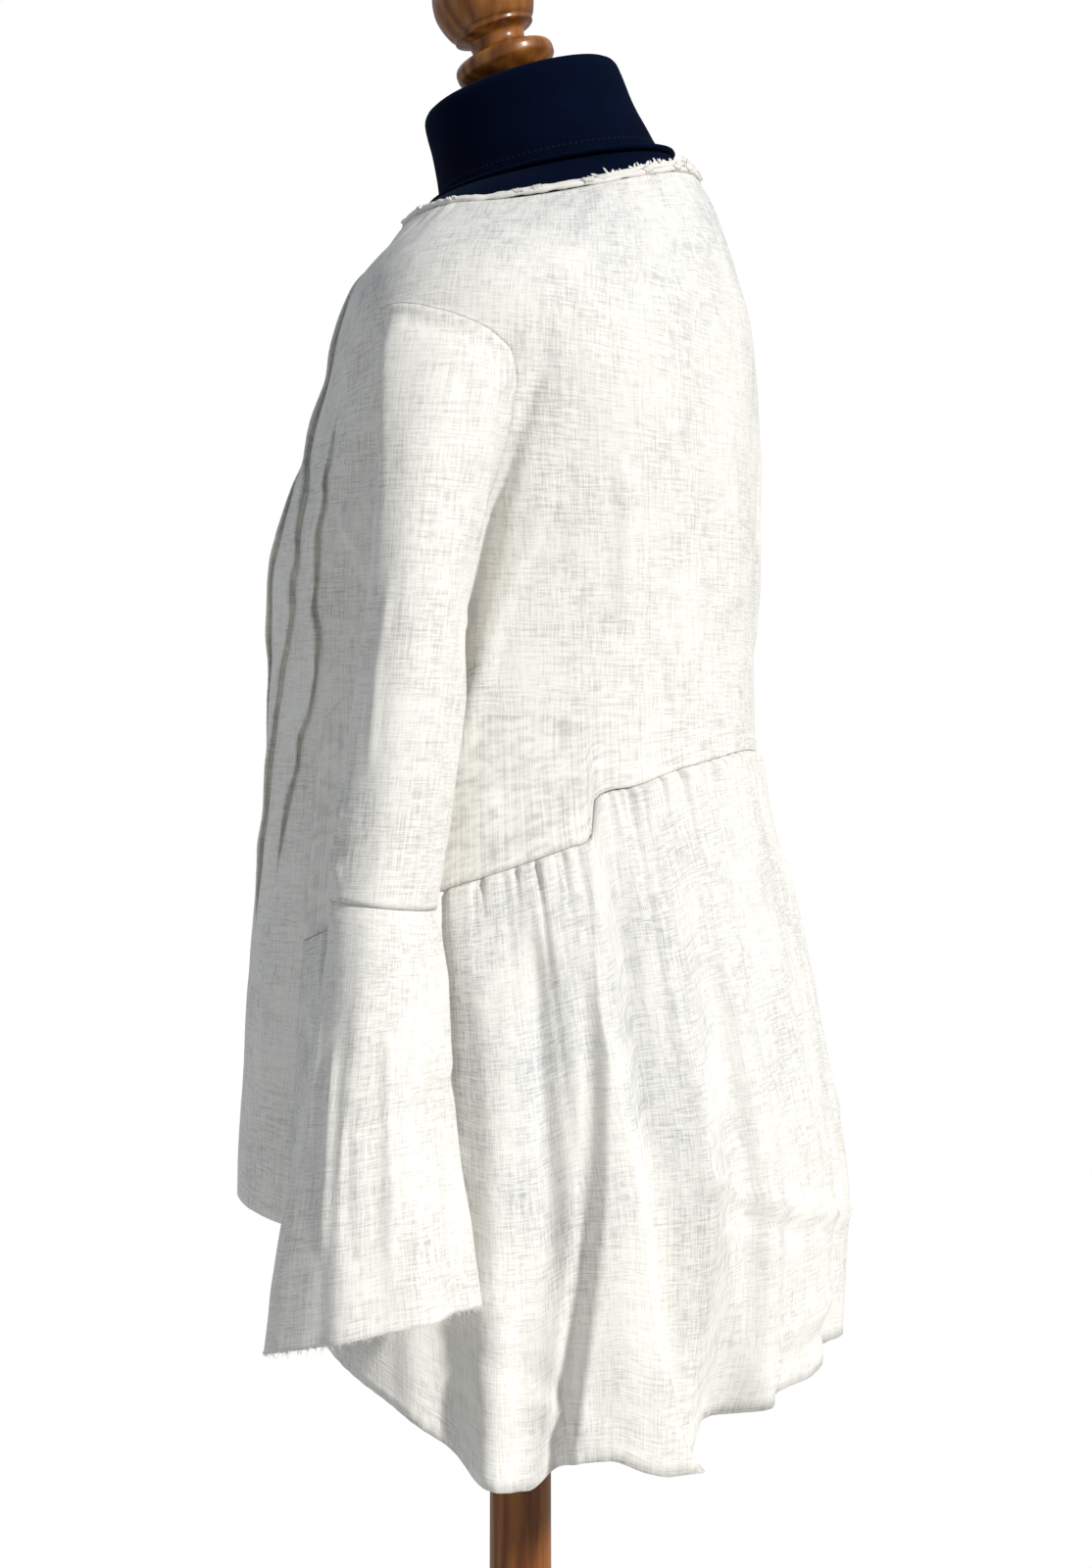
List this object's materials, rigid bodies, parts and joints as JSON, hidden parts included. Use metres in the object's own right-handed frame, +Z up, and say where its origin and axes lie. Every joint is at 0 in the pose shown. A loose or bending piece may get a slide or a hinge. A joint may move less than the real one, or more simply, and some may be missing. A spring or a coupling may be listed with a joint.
{
  "type": "linen blouse on a limbless dress form",
  "caption": "Open-weave linen blouse with a tucked front, flared cuffs and a gathered high-low back skirt, worn on a limbless dress form on a turned wood stand",
  "frame": {"origin": "the centre of the stand's flat underside, on the floor", "axes": "+Z up, -Y the way the wearer faces, +X the wearer's left"},
  "size_m": [0.6592, 0.3809, 1.5852],
  "materials": {
    "linen": "open slubby weave",
    "jersey": "matt navy jersey",
    "wood": "varnished"
  },
  "bodies": {
    "root": {"blouse_front": "linen", "blouse_back": "linen", "blouse_skirt": "linen", "sleeve_left": "linen", "sleeve_right": "linen", "flounce_left": "linen", "flounce_right": "linen", "neck_trim": "linen", "form_torso": "jersey", "form_neck": "jersey", "form_neck_seam": "jersey", "finial": "wood", "stand_post": "wood", "stand_base": "wood"}
  },
  "joints": []
}
